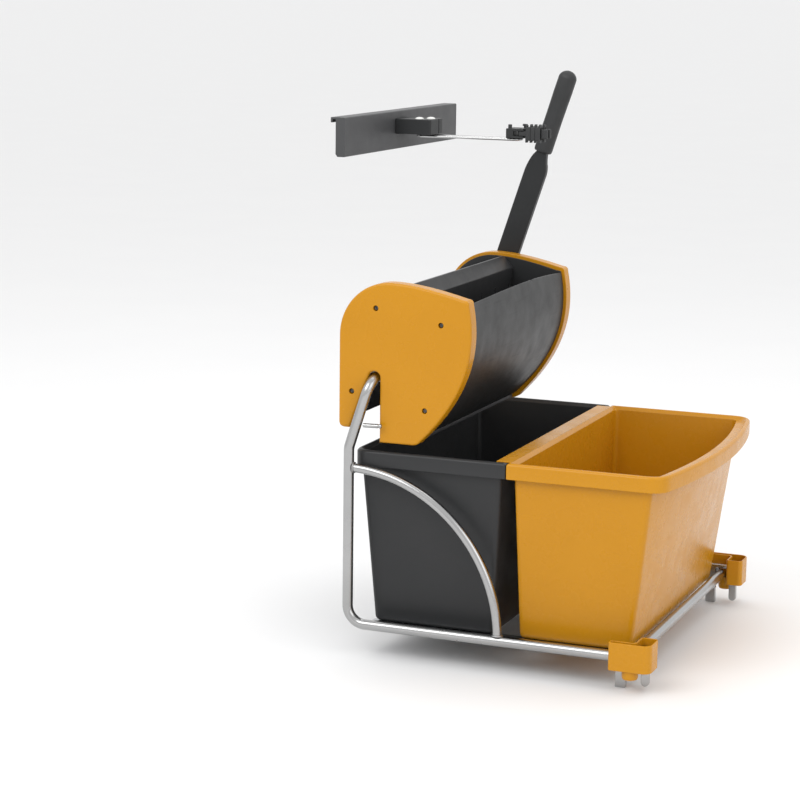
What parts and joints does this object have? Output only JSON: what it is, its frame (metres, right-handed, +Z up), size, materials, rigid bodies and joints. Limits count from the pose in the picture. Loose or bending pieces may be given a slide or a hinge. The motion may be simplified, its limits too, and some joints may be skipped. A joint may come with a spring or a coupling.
{
  "type": "double mop bucket with lever wringer",
  "caption": "Mop buckets side by side on a bent-tube frame, with a lever press wringer hooked over its crossbar, corner bumpers, and a panel with a swinging mop-handle clip.",
  "frame": {"origin": "on the deck that the frame's rails rest on, midway between the two rails, under the uprights", "axes": "+Z up, +X from the uprights towards the front bucket, +Y from the plain cover towards the cover with the lever"},
  "size_m": [0.5658, 0.589, 0.8722],
  "materials": {
    "chrome": "bright chromed tube",
    "steel": "satin zinc-plated steel",
    "yellow": "glossy moulded plastic, warm yellow",
    "anthracite": "fine-grained moulded plastic, dark grey",
    "white": "smooth white plastic",
    "black": "fine-grained moulded plastic, black",
    "rubber": "soft moulded grip"
  },
  "bodies": {
    "frame": {"main_tube": "chrome", "front_tube": "chrome", "brace_near": "chrome", "brace_far": "chrome", "ledge_near": "steel", "ledge_far": "steel", "stop_pin_near": "chrome", "stop_pin_far": "chrome", "corner_fork_near": "chrome", "corner_fork_far": "chrome", "bumper_near": "yellow", "bumper_far": "yellow", "holder_panel": "anthracite", "holder_base": "black", "holder_button_1": "white", "holder_button_2": "white"},
    "grey_bucket": {"grey_bucket": "anthracite"},
    "yellow_bucket": {"yellow_bucket": "yellow"},
    "wringer": {"side_cover_near": "yellow", "side_cover_far": "yellow", "cover_screw_near_1": "steel", "cover_screw_near_2": "steel", "cover_screw_near_3": "steel", "cover_screw_near_4": "steel", "cover_screw_far_1": "steel", "cover_screw_far_2": "steel", "cover_screw_far_3": "steel", "cover_screw_far_4": "steel", "end_wall_near": "anthracite", "end_wall_far": "anthracite", "shaft_bush_near": "white", "shaft_bush_far": "white", "hinge_pin_near": "steel", "hinge_pin_far": "steel", "front_shell": "anthracite", "rear_shell": "anthracite", "drain_grid": "anthracite", "return_spring": "steel"},
    "lever": {"lever_shaft": "steel", "press_cam_near": "white", "press_cam_far": "white", "lever_blade": "black", "lever_grip": "rubber", "lever_screw": "steel"},
    "press_plate": {"press_plate": "anthracite"},
    "holder_arm": {"holder_arm": "chrome", "clip_body": "black", "clip_pin_near": "black", "clip_pin_far": "black"},
    "clip_jaw_near": {"clip_jaw_near": "rubber"},
    "clip_jaw_far": {"clip_jaw_far": "rubber"}
  },
  "joints": [
    {"name": "grey_bucket_lift", "type": "slide", "parent": "frame", "child": "grey_bucket", "axis": [0, 0, 1], "range_m": [0, 0.011]},
    {"name": "yellow_bucket_lift", "type": "slide", "parent": "grey_bucket", "child": "yellow_bucket", "axis": [0, 0, 1], "range_m": [0, 0.135]},
    {"name": "wringer_lift", "type": "slide", "parent": "frame", "child": "wringer", "axis": [0, 0, 1], "range_m": [0, 0.11]},
    {"name": "lever_turn", "type": "hinge", "parent": "wringer", "child": "lever", "pos_m": [0.044, 0, 0.438], "axis": [0, 1, 0], "range_deg": [0, 60], "stiffness_Nm_per_rad": 1.2, "springref_deg": -57.3},
    {"name": "press_plate_turn", "type": "hinge", "parent": "wringer", "child": "press_plate", "pos_m": [0.072, 0, 0.32], "axis": [0, 1, 0], "range_deg": [0, 18]},
    {"name": "holder_arm_turn", "type": "hinge", "parent": "frame", "child": "holder_arm", "pos_m": [0.003, -0.006, 0.735], "axis": [0, 0, 1], "range_deg": [-90, 90]},
    {"name": "clip_jaw_far_turn", "type": "hinge", "parent": "holder_arm", "child": "clip_jaw_far", "pos_m": [0.173, 0.005, 0.7418], "axis": [0, 0, 1], "range_deg": [0, 20], "stiffness_Nm_per_rad": 0.05},
    {"name": "clip_jaw_near_turn", "type": "hinge", "parent": "holder_arm", "child": "clip_jaw_near", "pos_m": [0.173, -0.017, 0.7418], "axis": [0, 0, -1], "range_deg": [0, 20], "stiffness_Nm_per_rad": 0.05}
  ],
  "couplings": [
    {"joint": "press_plate_turn", "follows": "lever_turn", "ratio": 0.3},
    {"joint": "clip_jaw_near_turn", "follows": "clip_jaw_far_turn", "ratio": 1}
  ]
}
